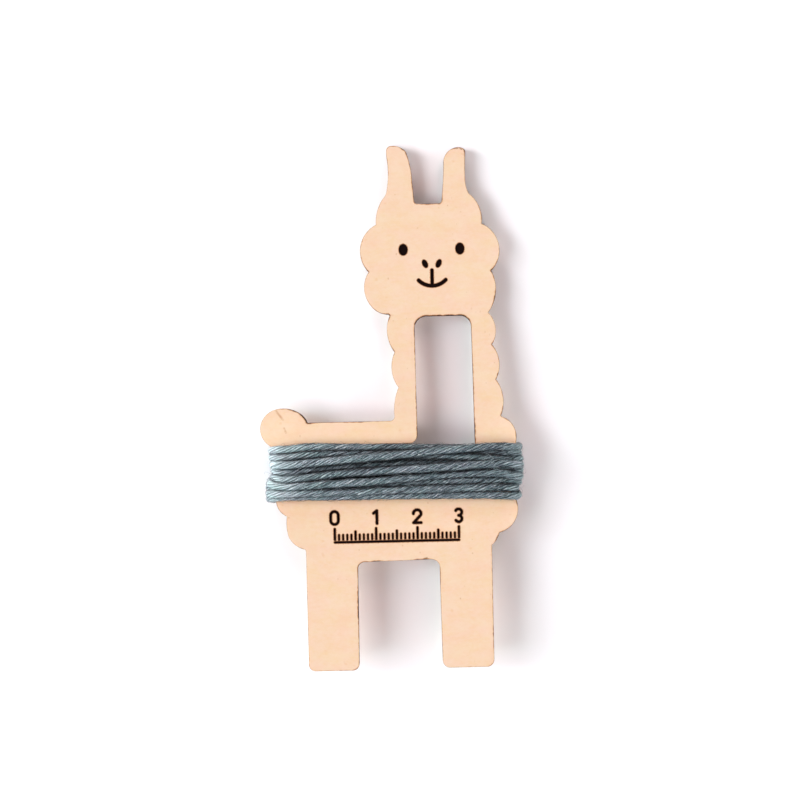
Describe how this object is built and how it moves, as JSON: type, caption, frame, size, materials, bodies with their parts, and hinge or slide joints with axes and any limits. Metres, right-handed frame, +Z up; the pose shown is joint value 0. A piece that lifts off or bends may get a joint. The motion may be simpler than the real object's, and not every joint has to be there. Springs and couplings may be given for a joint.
{
  "type": "pom pom maker",
  "caption": "Flat plywood pom pom maker cut to a standing llama outline, with a tying slot and yarn wound round its body.",
  "frame": {"origin": "middle of the outside box at the height of the surface that the part lies on", "axes": "+Y from the feet to the ears, +X to the right across the body as seen from the front face, +Z up out of the front face"},
  "size_m": [0.0636, 0.1266, 0.0102],
  "materials": {
    "face_wood": "sanded bare birch veneer, edges and drawn lines burnt dark brown",
    "core_wood": "laser-cut edge of the cross ply, charred brown",
    "back_wood": "sanded bare birch veneer",
    "yarn": "matt plied yarn, slate teal"
  },
  "bodies": {
    "root": {"front_veneer": "face_wood", "core_ply": "core_wood", "back_veneer": "back_wood", "yarn_winding": "yarn"}
  },
  "joints": []
}
